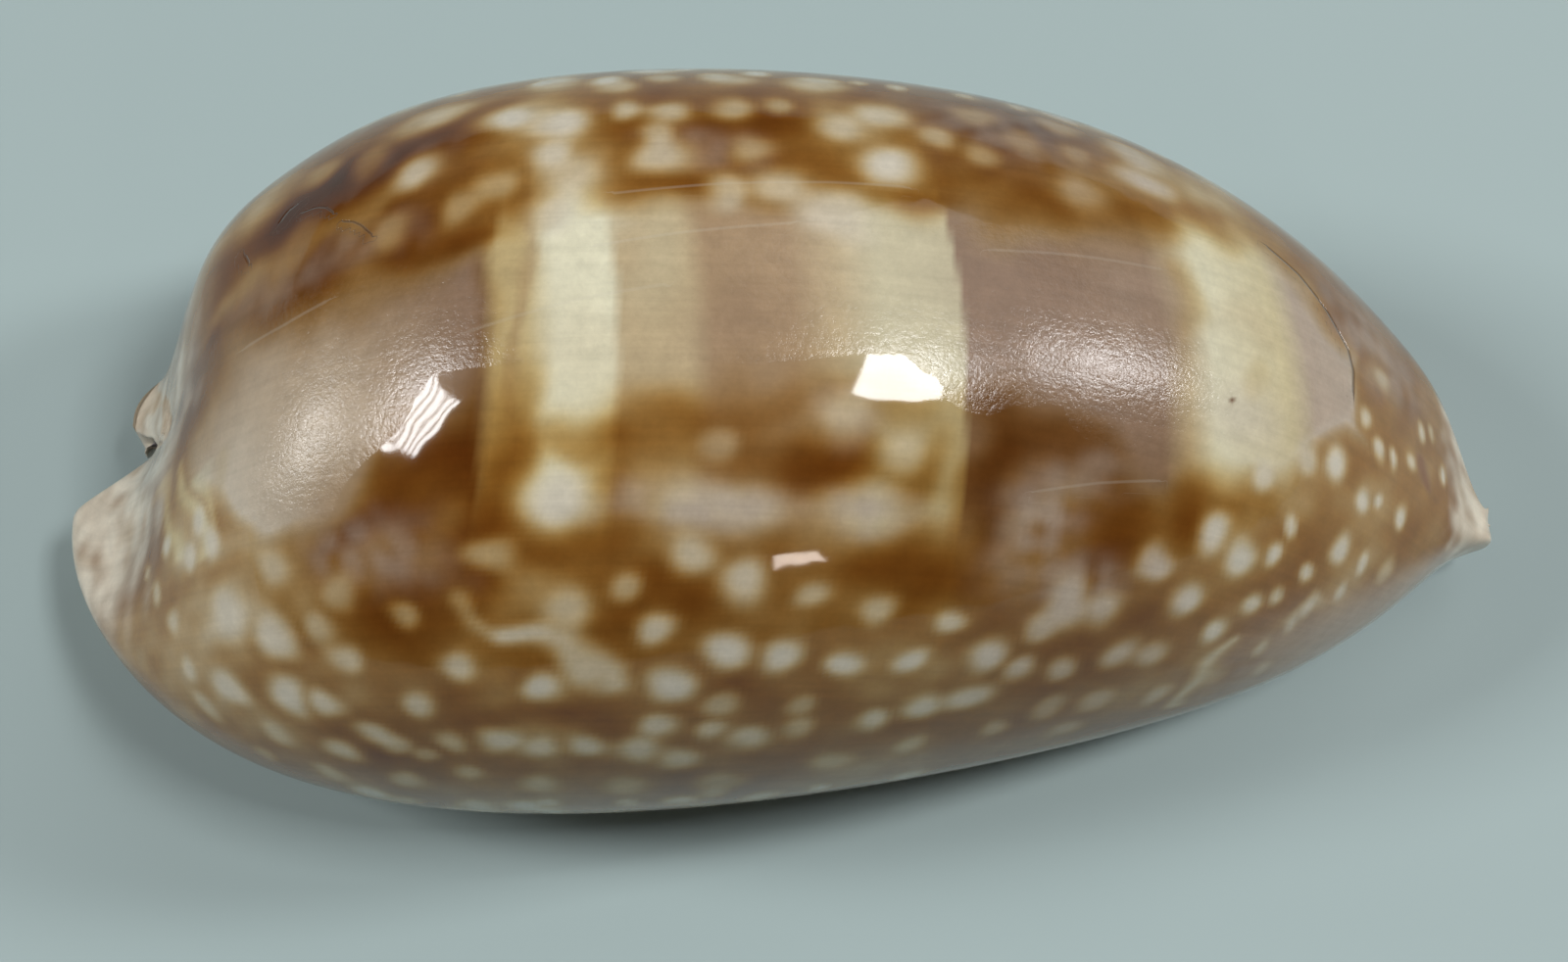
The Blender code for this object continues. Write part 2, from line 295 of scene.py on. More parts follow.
def shell_grid(t, steps):
    """Outer and inner sheet of the wall at the given places along the shell."""
    lip, base, back = steps
    lines = outer_lines(t)
    outer = sheet(lines, t, steps)
    inner = sheet(inner_lines(t, lines), t, steps, inside=True)
    press_saddle(outer, t, len(lip) + len(base), back)
    cut_grooves(outer, t, lip)
    outer[..., 2] = np.maximum(outer[..., 2], 0)
    for grid in (outer, inner):
        grid[..., 0] -= MIDDLE[0]
        grid[..., 1] -= MIDDLE[1]
    return outer, inner


def rim(outer, inner, end, rings):
    """Rings of points that round the wall over from the outer to the inner sheet at one end."""
    row, before = (0, 1) if end < 0 else (-1, -2)
    a, b = outer[row], inner[row]
    lead_a, lead_b = a - outer[before], b - inner[before]
    for lead in (lead_a, lead_b):
        lead /= np.linalg.norm(lead, axis=1, keepdims=True) + TINY
        lead[:, 0] += RIM_LEAN * end
    reach = np.minimum(RIM_ROUND, RIM_SHARE * np.linalg.norm(b - a, axis=1, keepdims=True))
    out = []
    for w in np.linspace(0, 1, rings + 2)[1:-1]:
        out.append((1 - w) ** 3 * a + 3 * w * (1 - w) ** 2 * (a + lead_a * reach)
                   + 3 * w * w * (1 - w) * (b + lead_b * reach) + w ** 3 * b)
    return out


def even_steps(counts):
    return tuple(tuple(np.linspace(0, 1, n + 1)[:-1]) for n in counts)


def quads(index, flip=False):
    """Faces of a grid of vertex numbers."""
    a, b, c, d = index[:-1, :-1], index[1:, :-1], index[1:, 1:], index[:-1, 1:]
    if flip:
        b, d = d, b
    return np.stack([a, b, c, d], -1).reshape(-1, 4).tolist()


def zipped(fine, coarse):
    """Triangles between two open runs of vertex numbers that have different counts."""
    faces = []
    i = j = 0
    m, n = len(fine) - 1, len(coarse) - 1
    while i < m or j < n:
        if j == n or (i < m and (i + 1) * n <= (j + 1) * m):
            faces.append((fine[i], fine[i + 1], coarse[j]))
            i += 1
        else:
            faces.append((fine[i], coarse[j + 1], coarse[j]))
            j += 1
    return faces


class Surface:
    """The closed fine surface: a dense outside, rounded ends and a coarser inside, zipped together."""

    def __init__(self):
        first, middle, last = FINE_ROWS
        near, far = ROW_BREAKS
        self.t = np.concatenate([np.linspace(0, near, first)[:-1], np.linspace(near, far, middle)[:-1],
                                 np.linspace(far, 1, last)])
        steps = even_steps(FINE_ARCS)
        outer, inner = shell_grid(self.t, steps)
        rings = {end: rim(outer, inner, end, RIM_RINGS) for end in (-1, 1)}
        _, chamber = shell_grid(np.linspace(*CHAMBER_ENDS, COARSE_ROWS), even_steps(COARSE_ARCS))
        self.outer = outer
        self.chamber = chamber
        self.crest = sum(FINE_ARCS)
        self.margins = (sum(FINE_ARCS[:2]), outer.shape[1] - 1 - sum(FINE_ARCS[:2]))
        self.points = np.concatenate([outer.reshape(-1, 3), *rings[-1], *rings[1], chamber.reshape(-1, 3)])
        self.build_faces(outer.shape, chamber.shape)
        self.measure()

    def build_faces(self, fine, coarse):
        rows, columns = fine[:2]
        grid = np.arange(rows * columns).reshape(rows, columns)
        start = rows * columns
        ends = {}
        for end in (-1, 1):
            ends[end] = start + np.arange(RIM_RINGS * columns).reshape(RIM_RINGS, columns)
            start += RIM_RINGS * columns
        room = start + np.arange(coarse[0] * coarse[1]).reshape(coarse[:2])
        posterior = np.concatenate([ends[-1][::-1], grid[:1]])
        anterior = np.concatenate([grid[-1:], ends[1]])
        faces = quads(grid) + quads(posterior) + quads(anterior) + quads(room, True)
        labral = np.concatenate([ends[-1][::-1, 0], grid[:, 0], ends[1][:, 0]])
        columellar = np.concatenate([ends[-1][::-1, -1], grid[:, -1], ends[1][:, -1]])
        faces += zipped(labral[::-1], room[::-1, 0])
        faces += zipped(ends[-1][-1], room[0])
        faces += zipped(columellar, room[:, -1])
        faces += zipped(ends[1][-1][::-1], room[-1][::-1])
        self.faces = faces

    def measure(self):
        """Station and girth of the outside points, and how far round: 1 at margins, 2 at the slot."""
        steps = np.linalg.norm(np.diff(self.outer, axis=1), axis=2)
        girth = np.concatenate([np.zeros((len(self.t), 1)), np.cumsum(steps, 1)], 1)
        girth -= girth[:, self.crest:self.crest + 1]
        left, right = (girth[:, m:m + 1] for m in self.margins)
        ends = girth[:, :1], girth[:, -1:]
        round_l = np.where(girth > left, girth / -left, -2 + (girth - ends[0]) / (left - ends[0] + TINY))
        round_c = np.where(girth < right, girth / right, 2 - (ends[1] - girth) / (ends[1] - right + TINY))
        self.girth = girth
        self.around = np.where(girth < 0, round_l, round_c)
        self.station = ((share(self.t) - 0.5) * LENGTH)[:, None] + 0 * girth

    def find(self, station, girth):
        """Row and column of the outside point at that station and girth."""
        row = int(np.argmin(np.abs(self.station[:, 0] - station)))
        return row, int(np.argmin(np.abs(self.girth[row] - girth)))

    def spread(self, values, inside):
        """A value for every vertex: the rims take those of the end rows, the chamber the value inside."""
        shape = values.shape[2:]
        flat = values.reshape(-1, *shape)
        rims = [np.repeat(values[row][None], RIM_RINGS, 0).reshape(-1, *shape) for row in (0, -1)]
        count = self.chamber.shape[0] * self.chamber.shape[1]
        room = np.broadcast_to(np.asarray(inside, float), (count, *shape))
        return np.concatenate([flat, *rims, room])


# Colours of the layers of the shell, as linear red, green and blue
PALE = (0.57, 0.53, 0.44)
CREAM = (0.68, 0.66, 0.49)
YELLOW_CREAM = (0.56, 0.49, 0.3)
GREEN_CREAM = (0.5, 0.46, 0.31)
TAN = (0.45, 0.36, 0.22)
DEEP_TAN = (0.34, 0.24, 0.145)
MAUVE = (0.22, 0.145, 0.098)
BEIGE_MAUVE = (0.4, 0.32, 0.25)
DULL_BROWN = (0.29, 0.2, 0.118)
WARM_BEIGE = (0.5, 0.41, 0.3)
SPOT_PINK = (0.46, 0.38, 0.32)
MARGIN_MAUVE = (0.25, 0.175, 0.12)
END_CREAM = (0.68, 0.61, 0.49)
BASE_FLESH = (0.4, 0.3, 0.22)
TOOTH_BROWN = (0.13, 0.055, 0.022)
INSIDE_MAUVE = (0.42, 0.37, 0.38)
CHAMBER_GREY = (0.4, 0.4, 0.4)
VEIL = (0.42, 0.35, 0.29)
SCAR_DARK = (0.06, 0.027, 0.013)
PIT_RED = (0.2, 0.07, 0.04)

# What one layer of the golden pigment lets through of each colour, and what the thickest still gives back
PIGMENT = np.array([0.6, 0.415, 0.2])
PIGMENT_FLOOR = np.array([0.018, 0.008, 0.002])

# Bands under the pigment, from the spire on: station where a colour holds
BANDS = (
    (-43, DULL_BROWN), (-26, DULL_BROWN), (-20, MAUVE), (-19.2, MAUVE), (-18.3, YELLOW_CREAM),
    (-16.6, YELLOW_CREAM), (-15, CREAM), (-11.9, CREAM), (-11.3, TAN), (-7.6, TAN),
    (-6.4, DEEP_TAN), (-2, DEEP_TAN), (0.6, TAN), (3, GREEN_CREAM), (7.35, GREEN_CREAM), (7.65, MAUVE),
    (19, MAUVE), (20.6, TAN), (22.2, CREAM), (27, YELLOW_CREAM), (28.8, BEIGE_MAUVE), (43, BEIGE_MAUVE))
# How far along the shell the bands lean at a given girth
BAND_LEAN = ((-13.5, 0.65), (-8.5, 0.4), (-1, -0.1), (2, -0.6), (6, -1.35), (13, -3.1), (20, -5))

# Borders of the pigmented coat, as (station, girth): it lies outside them, the worn back between them
COAT_LOW = (
    (-38, -6), (-34, -9), (-29, -12.5), (-26, -12.8), (-24, -9.5), (-19, -7.5), (-18.3, -13), (-11, -13.8),
    (-2, -14), (1, -13.6), (7, -13.4), (8, -12), (10, -12.5), (14, -10), (20, -9), (24, -7), (28, -4.5),
    (31, -1.5))
COAT_HIGH = (
    (-38, -0.6), (-34, 0), (-28, 0.1), (-24, 0.7), (-19, 1.6), (-18.4, 4), (-12, 4.6), (-6, 4.2), (0, 5.2),
    (6, 5.2), (8, 5.8), (14, 5.6), (20, 7), (24, 8.6), (27, 8), (29, 6), (31, 3.5))

# Soft patches laid on: station, girth, half length, half width, lean in degrees and amount. First
# come the layers of pigment added or taken away, then colours laid on under the pigment, each over those
# before it, then the pale veil over it.
PIGMENT_PATCHES = (
    (-21.3, -10.6, 3, 2.8, 0, 1), (-19.6, -8.6, 1, 2.6, 0, 0.6), (-24.6, -13.2, 2.2, 1, 0, 1),
    (-16.8, -9.6, 1.2, 2.5, 0, 0.5), (-13.2, -9.4, 2.6, 0.9, 0, 1), (-17, -12.5, 1.4, 3.2, 0, 1.1),
    (-11.3, -12, 1.3, 2.6, 0, 1.15), (-8.6, -8.7, 2.3, 1.5, 10, 1), (-5.2, -9, 1.9, 2.2, 0, 0.8),
    (-3, -7, 2.2, 1, 0, 0.5), (-0.2, -10.4, 2.6, 1.3, 5, 1.9), (2.2, -9.6, 1.6, 1.5, 0, 0.9),
    (5.7, -10.4, 1.5, 2, 0, 1.2), (3.4, -6.6, 2.8, 0.8, 0, 0.6), (9.4, -11, 1.1, 2.3, 0, 1.3),
    (12.3, -7.6, 3.4, 1.4, -10, 1.5), (10, -8.6, 1.3, 1.5, 0, 0.9), (16.6, -11.6, 1.6, 2.6, 0, 1.3),
    (20.6, -10.3, 1.1, 1.9, 0, 0.9), (-21.5, -18, 3, 2.2, 0, 0.6), (-13.5, -25.2, 4.5, 1.3, 0, 0.8),
    (5, -15.2, 5, 1.2, 0, 0.6), (-14, -17.3, 2.8, 1.2, -15, -0.7), (-8.6, -14.6, 2.2, 1.4, 0, 0.3),
    (-34, -14.6, 2.8, 1.1, 0, 0.7), (-33.2, -11, 0.8, 1.2, 0, 0.5), (16, -20.2, 4, 1.4, 10, 0.5),
    (26, -6.4, 5, 1.6, 10, -0.6), (33, -4, 6, 5, 0, -0.55), (-33, -19, 5, 5.5, 0, -1.05),
    (-30.4, 6.6, 4.6, 1.3, 24, 1.2), (-24.5, 9.6, 4.5, 1.7, 20, 1.3), (-27, 2.6, 5, 1.5, 8, 0.4),
    (-21.3, 1.7, 2.8, 0.9, 4, 0.9), (-15, 6.5, 2.6, 4.6, 0, -0.75), (-16, 3.4, 1.3, 0.9, 0, 0.9),
    (-8, 4.7, 2.4, 0.9, 0, 1), (-4.6, 4.1, 1.6, 0.7, 0, 0.7), (-7, 9.3, 5.5, 3.2, 0, 0.5),
    (-2.8, 9.8, 2.2, 1.9, 0, 0.5), (4.2, 9, 1.9, 3.2, 0, -0.35), (4.6, 4.6, 2.4, 0.8, 0, 1),
    (1.2, 11, 2.2, 2.2, 45, -0.7), (10.5, 12.5, 3.6, 2.6, -10, 0.9), (12.5, 7.4, 4, 1.1, 0, 0.5),
    (12, 4.4, 5, 1.6, 0, 0.35), (15.4, 8.6, 3.2, 1.5, 0, -0.55), (23.4, 11.4, 4.6, 2.6, -25, -0.8),
    (-0.2, 15, 18, 2.5, 0, 0.2), (2, -9.6, 6.5, 3.4, 0, 0.55), (-17.4, -8.6, 1.5, 5, 0, 0.6),
    (-8, -11, 5, 3, 0, 0.35), (-28, 7.2, 5.4, 2.2, 22, 1.3), (-33.4, 9.2, 3.4, 1.4, 38, -1.2),
    (-37.6, -3, 1.6, 4.5, 0, 0.9), (-39.5, -12, 1.6, 3, 0, 0.6), (22.4, -8, 3.4, 2.2, 10, 0.7),
    (-17.6, 2, 1.3, 4, 0, 0.3), (-31, -0.2, 7, 2, 0, 0.35), (-33.6, -11.5, 4, 4.4, 0, -0.95),
    (23.2, 6.6, 1.6, 1.1, 0, 0.45), (25.6, -2, 1.2, 1.6, 0, 0.25), (20.6, 2, 0.9, 2.2, 0, 0.35),
    (-18.8, -3, 0.7, 3, 0, 0.35))
COLOUR_PATCHES = (
    (PALE, -33.5, -18, 4, 5, 0, 0.35), (PALE, 22, 12, 4, 2.2, -15, 0.4),
    (DULL_BROWN, -27.5, 6.8, 6, 3.2, 20, 0.5), (PALE, -33, 9.4, 3.4, 1.4, 38, 0.5),
    (MAUVE, 11, 12.5, 5, 3, -10, 0.5), (MAUVE, -24, -1, 6, 4, 0, 0.25),
    (WARM_BEIGE, -30.5, -6.6, 6, 4.4, 0, 0.75), (DULL_BROWN, -34, 0, 5, 2.6, 0, 0.5),
    (PALE, -33.5, -11, 4, 4, 0, 0.5), (DEEP_TAN, -17, -1.5, 0.3, 8, 0, 0.5),
    (TAN, -13, -5, 2.5, 2.4, 0, 0.25), (GREEN_CREAM, -9.5, 1, 1.3, 3, 0, 0.35),
    (MAUVE, -4.8, -3.4, 2.6, 2.2, 0, 0.35), (MAUVE, 14, 0, 7, 3.5, 0, 0.4),
    (TAN, 11.5, 4.6, 4.6, 1.8, 0, 0.45), (BEIGE_MAUVE, 17.5, 2, 2.5, 4, 0, 0.35),
    (TAN, 24, -4, 3, 2, 0, 0.3), (PALE, 24, -3.6, 1.8, 1.6, 0, 0.5), (CREAM, -13.6, 3.2, 2.2, 1.6, 0, 0.4),
    (TAN, 24.6, 1.6, 2, 1.3, 0, 0.3), (MAUVE, 17.6, -1, 2.6, 3, 0, 0.25))
VEIL_PATCHES = (
    (-23.6, -14.6, 4, 1.6, -20, 0.4), (-6, -12.4, 4.4, 0.9, 0, 0.65), (3.6, -12.4, 2.6, 0.9, 0, 0.7),
    (12.2, -12.6, 1.7, 2.8, -30, 0.6), (14.8, -15.4, 2.4, 1.5, 20, 0.6), (1.5, -7.6, 1.8, 1.1, 0, 0.35),
    (14, -9.6, 3, 0.9, 15, 0.3), (31, -22, 7, 7, 0, 0.3), (-29, 2.4, 5, 1.2, 10, 0.25),
    (11, 12, 5, 3, 0, 0.3), (-24, 8, 4, 2, 0, 0.08), (33.5, 4.5, 3.4, 2.4, -30, 0.45),
    (-7, 7.4, 3, 1.2, -10, 0.3))

# Lines laid on: what, half width, amount, places along it as (station, girth)
STREAKS = (
    ("spot", 0.62, 0.55, ((-18.2, -17.9), (-17.4, -18.9), (-16, -19.6), (-14.5, -19.8))),
    ("spot", 0.85, 0.85, ((-15, -19.9), (-12.6, -20.4), (-11, -21.2), (-9.6, -22.2), (-8.8, -23.4))),
    ("spot", 0.5, 0.8, ((24.7, -17.6), (23.9, -20), (23.1, -22.3), (22.4, -24.5))),
    ("spot", 0.5, 0.7, ((30.2, -12.4), (29.4, -13.8), (28.6, -15.2))),
    (TAN, 0.75, 0.75, ((-37, 1.6), (-33, 3.1), (-29, 4.4), (-26, 5.1), (-23.8, 6.4))),
    (CREAM, 0.42, 0.85, ((-39, -6.6), (-37.8, -9), (-36.8, -11), (-36.2, -12.6))),
    (CREAM, 0.38, 0.8, ((-37.6, -6.2), (-36.2, -8.6), (-35, -10.8), (-33.9, -12.6))),
    (CREAM, 0.3, 0.6, ((-36, -7), (-34.8, -9), (-33.6, -11))),
    (TAN, 0.3, 0.5, ((-35, -7), (-32.8, -10.6), (-31.4, -13.2))),
    (PIT_RED, 0.32, 0.8, ((37.3, -0.4), (37.3, -1.1), (37.2, -1.8))),
    (TOOTH_BROWN, 0.14, 1, ((23.2, -2.85), (23.25, -2.95))))

# Thin dark and pale lines: half width, amount, places along each
SCARS = (
    (0.09, 0.65, ((26.6, 8), (28.5, 6.9), (30.2, 5.1), (31.5, 3.1), (31.75, 1.8), (31.6, 0.4))),
    (0.08, 0.6, ((-32, 6.2), (-31.4, 7), (-30.9, 7.2))),
    (0.06, 0.6, ((-30.5, 6.3), (-29.6, 6.3), (-29, 6), (-28.6, 5.5))),
    (0.06, 0.55, ((-27.8, 4.5), (-27.2, 4.3), (-26.7, 3.9), (-26.1, 3.2))),
    (0.08, 0.45, ((-34.2, 4.8), (-34, 4.2))))
SCRATCHES = (
    (0.10, 0.16, ((-34, -1.2), (-31.4, -0.9), (-28.6, -0.3))),
    (0.10, 0.12, ((-20, -3.4), (-14, -2), (-9, -1.2))),
    (0.08, 0.13, ((12, -10.4), (15.5, -9.4), (19, -8.6))),
    (0.09, 0.14, ((-12, 4.2), (-6, 4.9), (0, 5.4), (4.4, 5.6))),
    (0.09, 0.15, ((-13, 1.0), (-8, 1.8), (-2, 2.6))),
    (0.09, 0.12, ((9, 2.2), (14, 2.8), (19, 3.2))))

# Where the glossy glaze ends, as (station, girth), on the lip's side and on the far side
GLAZE_LOW = (
    (-36, -11), (-30, -12.6), (-28, -13.2), (-26.6, -12.6), (-26, -10.8), (-24.8, -9.5), (-23, -8),
    (-22.5, -6.4), (-21.6, -5.4), (-14, -5.2), (-4, -5.4), (1, -4.6), (4, -4.2), (5.2, -4.9), (6.2, -5.3),
    (6.7, -6.3), (7.6, -6.8), (9.2, -6.9), (10.4, -6.2), (11.5, -6.1), (12.4, -5.7), (13.3, -5.9),
    (13.6, -6.7), (14.5, -7.2), (16, -7.7), (20, -7.2), (25, -5), (29.2, -2.6), (30.9, -1.1), (31.6, 1))
GLAZE_HIGH = (
    (-36, 0.4), (-30, 0.8), (-22, 1), (-14, 2.4), (-4, 2.8), (6, 3.5), (14, 4.5), (22, 6.6), (28, 6.8),
    (30.2, 5), (31.6, 1.8))

# Scattered spots of the far side and of the strip by the near margin: girths between which rows lie, stations
# where they end, spacing of rows and of spots in a row, and how far a spot strays
FAR_ROWS = (16.5, 46)
NEAR_ROWS = (-46, -33.5)
ROW_ENDS = (-38, 38)
ROW_SPACING = 2.7
SPOT_SPACING = 2.9
SPOT_STRAY = 0.55
# Limits of their radius, strength and stretch, how near to its place a point is found, and how far round
SCATTERED_LOOK = ((0.65, 1.2), (0.45, 1), (0.8, 1.4))
FOUND_WITHIN = 0.5
SCATTERED_AROUND = 1.1

# Share of the pigment that a spot takes, what its strength adds, the shape of its edge and its reach in radii
SPOT_SHARE = 0.42
SPOT_GAIN = 0.6
SPOT_SOFTNESS = 0.62
SPOT_POWER = 1.75
SPOT_REACH = 3.5
PATCH_SOFTNESS = 0.7
PATCH_POWER = 1.4

# How far outlines wander and how uneven layers are, each with the length of the waves
SEED = 7
WAVE_RANGE = (0.6, 1.6)
WANDER = (0.45, 5)
SPOT_WANDER = (0.2, 4.5)
BAND_WANDER = (0.06, 6)
BROAD_UNEVEN = (0.2, 9)
FINE_UNEVEN = (0.1, 3.2)
VEIL_UNEVEN = (0.35, 2.2)
POSTERIOR_WANDER = (0.5, 3)
ANTERIOR_WANDER = (0.3, 2)
END_UNEVEN = (0.2, 2)

# Where steps between colours start and end. From the coat's two borders, in girth:
LOW_STEP = (-2.0, 1.6)
HIGH_STEP = (-2.6, 1.4)
# By station
COAT_POSTERIOR = (-38.5, -36)
COAT_ANTERIOR = (31.4, 32.4)
PINK_START = (8, 14)
PINK_END = (20, 24)
FRONT_STATIONS = (22, 33)
POSTERIOR_STEP = (-41.2, -37.4)
ANTERIOR_STEP = (38.8, 40.8)
TOOTH_END = 36.5
# Round the shell, 1 at the margins and 2 at the slot
FRONT_AROUND = (0.55, 0.82)
MARGIN_STEP = (0.84, 1.02)
BASE_STEP = (1.0, 1.3)
TOOTH_STEP = (1.42, 1.62)
# From the middle of a streak, in half widths, and of a fine line, in millimetres
STREAK_STEP = (0.1, 1.9)
LINE_STEP = (0.4, 0.8)
LINE_LIMIT = 9.0

# Layers of pigment in the coat, and how much of each colour is laid on
PIGMENT_LAYERS = 1.85
PALE_UNDER_COAT = 0.8
STREAK_BARE = 0.6
PINK_SHARE = 0.8
SPOT_PALE = 0.85
VEIL_SHARE = 0.75
MARGIN_SHARE = 0.5
FRONT_SHARE = 0.85
END_SHARE = 0.8
TOOTH_SHARE = 0.85

# Edge of the worn back: stations where it ends, share that softens its far side, how far it is counted, how
# ragged the mottling makes it, and its step
GLAZE_ENDS = (-37, 31.65)
FAR_EDGE_SHARE = 0.35
WORN_LIMIT = 3
RAGGED = (0.5, -0.25)
WORN_STEP = (-0.08, 0.08)

# Grain of the material: waves to a millimetre along each axis, detail and roughness of the noise
MOTTLE = ((0.9, 0.9, 0.9), 3, 0.6)
GRIT = ((3.2, 3.2, 3.2), 3, 0.65)
SWELL = ((0.33, 0.33, 0.33), 1, 0.5)
GROWTH = ((0.07, 1.5, 1), 3, 0.6)
HAIR = ((0.3, 7.0, 1), 2, 0.6)
NOISE_MEAN = 0.5
# What a grain multiplies the colour by: the rise over its whole range, and the least
MOTTLE_TONE = (0.34, 0.84)
GRIT_TONE = (0.16, 0.93)
GROWTH_TONE = (0.30, 0.86)
# Edges of the fine lines, in half widths
SCRATCH_STEP = (0.4, 1.4)
SCAR_STEP = (0.4, 1.5)

# Finish: roughness under the glaze and on the worn back, and how much the grit changes that
GLAZE_ROUGHNESS = 0.06
WORN_ROUGHNESS = 0.18
GRIT_ROUGHNESS = 0.3
SPECULAR_LEVEL = 0.38
# Fine relief: its unit in metres, heights in that unit, and the share of the grain that shows under the glaze
RELIEF_M = 0.00005
GRIT_RELIEF = 0.55
HAIR_RELIEF = 0.1
SWELL_RELIEF = 1.2
WORN_RELIEF = -0.3
SCAR_RELIEF = -1.5
GLAZED_SHARE = 0.02

